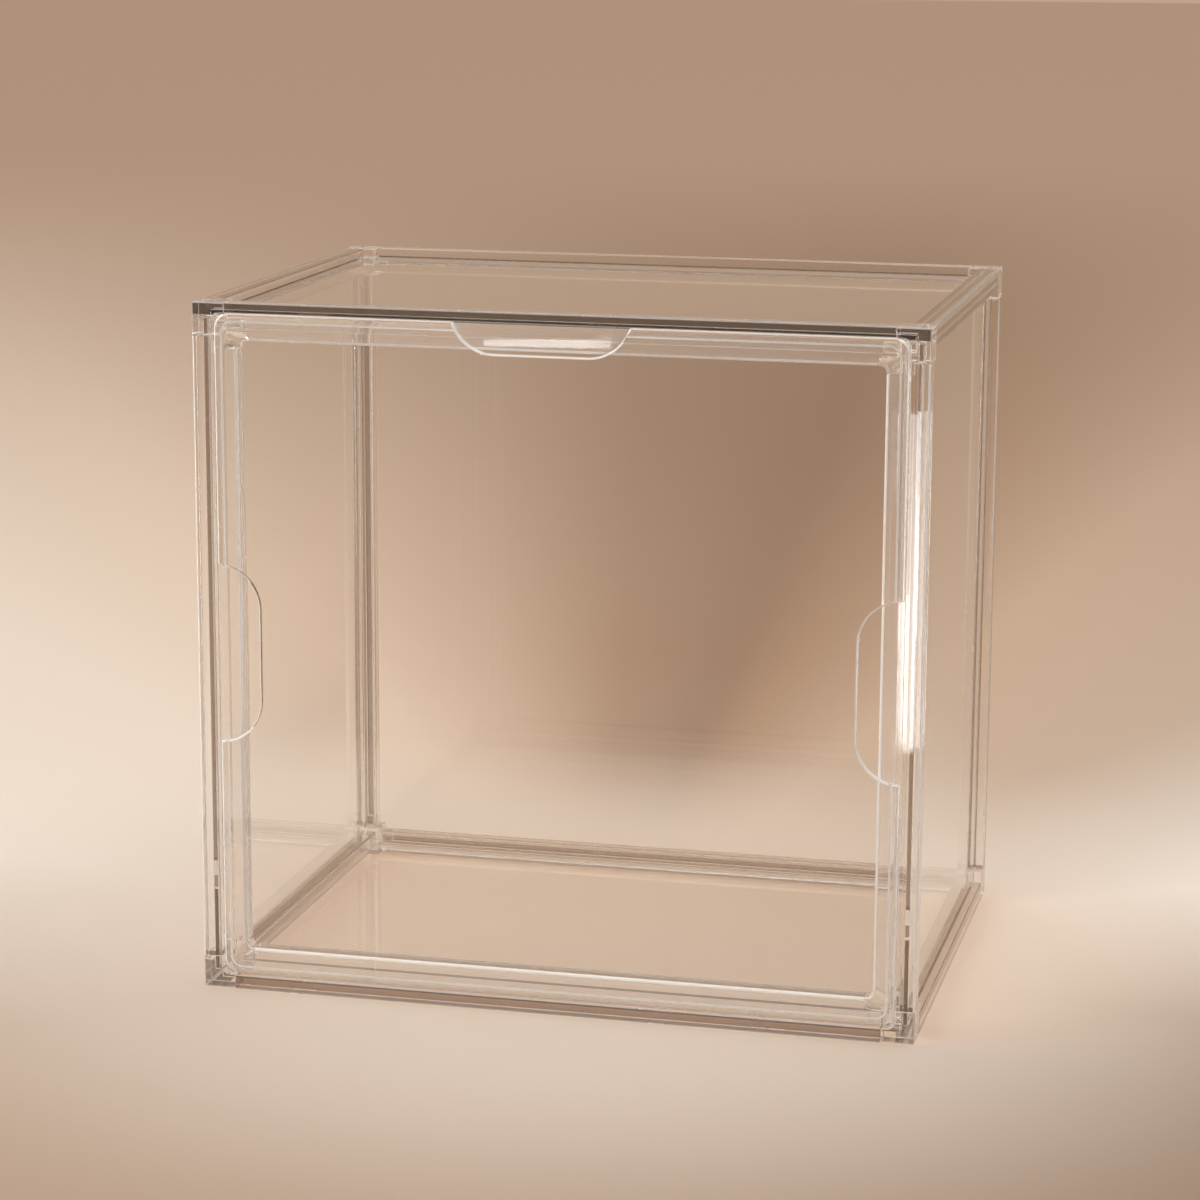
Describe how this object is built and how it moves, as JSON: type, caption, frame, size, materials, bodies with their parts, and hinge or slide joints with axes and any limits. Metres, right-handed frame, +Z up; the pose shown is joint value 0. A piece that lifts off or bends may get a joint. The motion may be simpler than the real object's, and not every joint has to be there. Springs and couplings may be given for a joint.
{
  "type": "storage box",
  "caption": "Clear plastic display box: a rail and corner frame that holds sheet panels, and a pull-off front door with finger cut-outs.",
  "frame": {"origin": "on the floor, under the middle of the box's outside", "axes": "+X to the right seen from the front, along the width; +Y from the door to the back; +Z up"},
  "size_m": [0.34, 0.245, 0.327],
  "materials": {
    "moulded_clear_plastic": "clear, polished",
    "clear_plastic_sheet": "clear, polished"
  },
  "bodies": {
    "frame": {"corner_front_top_left": "moulded_clear_plastic", "corner_front_top_right": "moulded_clear_plastic", "corner_front_bottom_left": "moulded_clear_plastic", "corner_front_bottom_right": "moulded_clear_plastic", "corner_back_top_left": "moulded_clear_plastic", "corner_back_top_right": "moulded_clear_plastic", "corner_back_bottom_left": "moulded_clear_plastic", "corner_back_bottom_right": "moulded_clear_plastic", "rail_front_top": "moulded_clear_plastic", "rail_front_bottom": "moulded_clear_plastic", "rail_back_top": "moulded_clear_plastic", "rail_back_bottom": "moulded_clear_plastic", "rail_left_top": "moulded_clear_plastic", "rail_left_bottom": "moulded_clear_plastic", "rail_right_top": "moulded_clear_plastic", "rail_right_bottom": "moulded_clear_plastic", "post_front_left": "moulded_clear_plastic", "post_front_right": "moulded_clear_plastic", "post_back_left": "moulded_clear_plastic", "post_back_right": "moulded_clear_plastic", "panel_top": "clear_plastic_sheet", "panel_bottom": "clear_plastic_sheet", "panel_left": "clear_plastic_sheet", "panel_right": "clear_plastic_sheet", "panel_back": "clear_plastic_sheet"},
    "door": {"door": "clear_plastic_sheet"}
  },
  "joints": [
    {"name": "door_pull_off", "type": "slide", "parent": "frame", "child": "door", "axis": [0, -1, 0], "range_m": [0, 0.15]}
  ]
}
